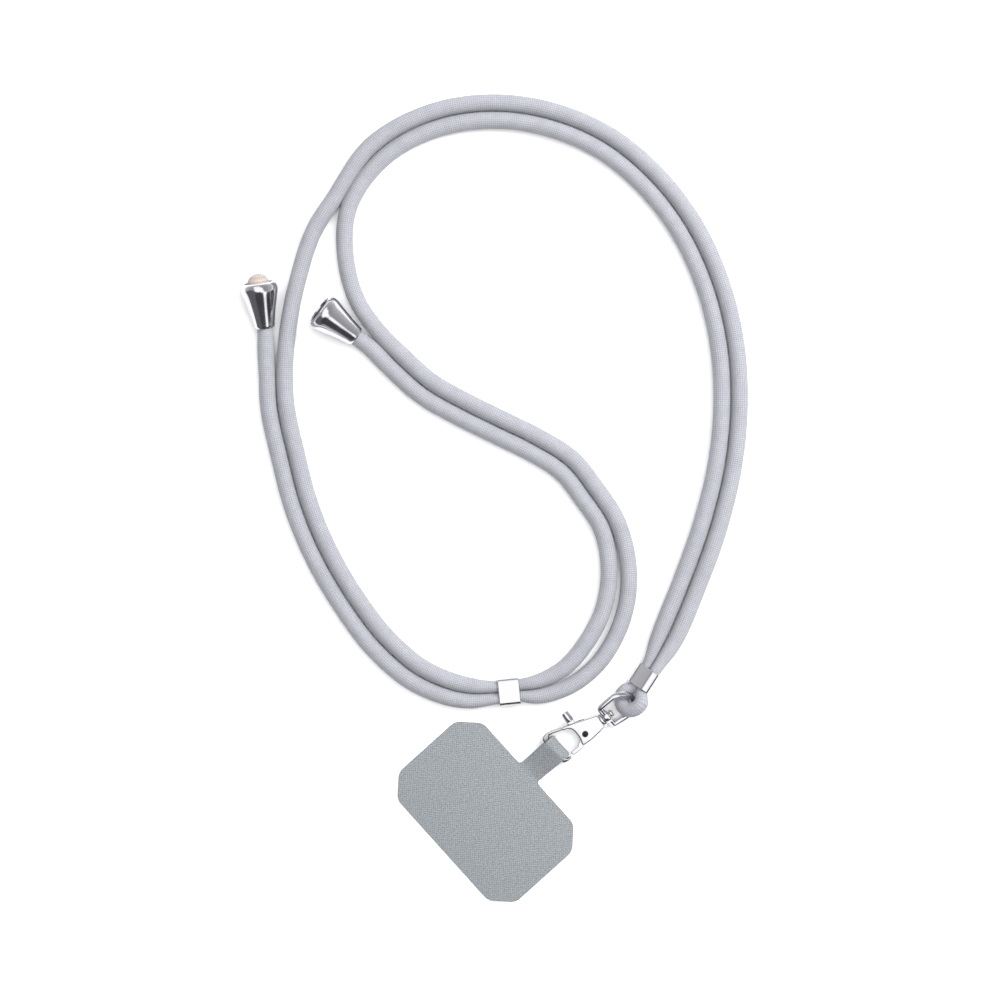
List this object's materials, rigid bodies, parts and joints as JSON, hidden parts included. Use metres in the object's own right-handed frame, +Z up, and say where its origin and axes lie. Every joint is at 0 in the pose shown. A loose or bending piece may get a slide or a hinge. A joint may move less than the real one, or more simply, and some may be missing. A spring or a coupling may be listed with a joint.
{
  "type": "phone crossbody strap",
  "caption": "Round knitted rope in a double loop with metal clips, bell-shaped rope ends, a swivel trigger clasp and a flat fabric pad that slips into a phone case.",
  "frame": {"origin": "centre of the laid strap's outline, on the surface it lies on", "axes": "+X to the picture's right, +Y to the picture's top, +Z up from the surface"},
  "size_m": [0.181, 0.2886, 0.0135],
  "materials": {
    "rope_cloth": "fine cross-ribbed knit, matt",
    "rope_end_cloth": "woven, matt",
    "polished_metal": "polished plate",
    "pad_cloth": "fine flat weave, matt"
  },
  "bodies": {
    "strap": {"rope": "rope_cloth", "rope_end_1": "rope_end_cloth", "rope_end_2": "rope_end_cloth", "slide_clip": "polished_metal", "loop_clip": "polished_metal", "bell_1": "polished_metal", "bell_2": "polished_metal", "swivel_ring": "polished_metal"},
    "hook": {"hook_body": "polished_metal", "pivot_rivet": "polished_metal", "patch": "pad_cloth"},
    "lever": {"lever": "polished_metal"}
  },
  "joints": [
    {"name": "swivel", "type": "hinge", "parent": "strap", "child": "hook", "pos_m": [0.03991, -0.07771, 0.00479], "axis": [-0.8034, -0.5901, -0.0794], "continuous": true},
    {"name": "lever", "type": "hinge", "parent": "hook", "child": "lever", "pos_m": [0.03235, -0.08376, 0.00402], "axis": [0.064, 0.047, -0.9968], "range_deg": [0, 22], "stiffness_Nm_per_rad": 0.05, "springref_deg": -11.46}
  ]
}
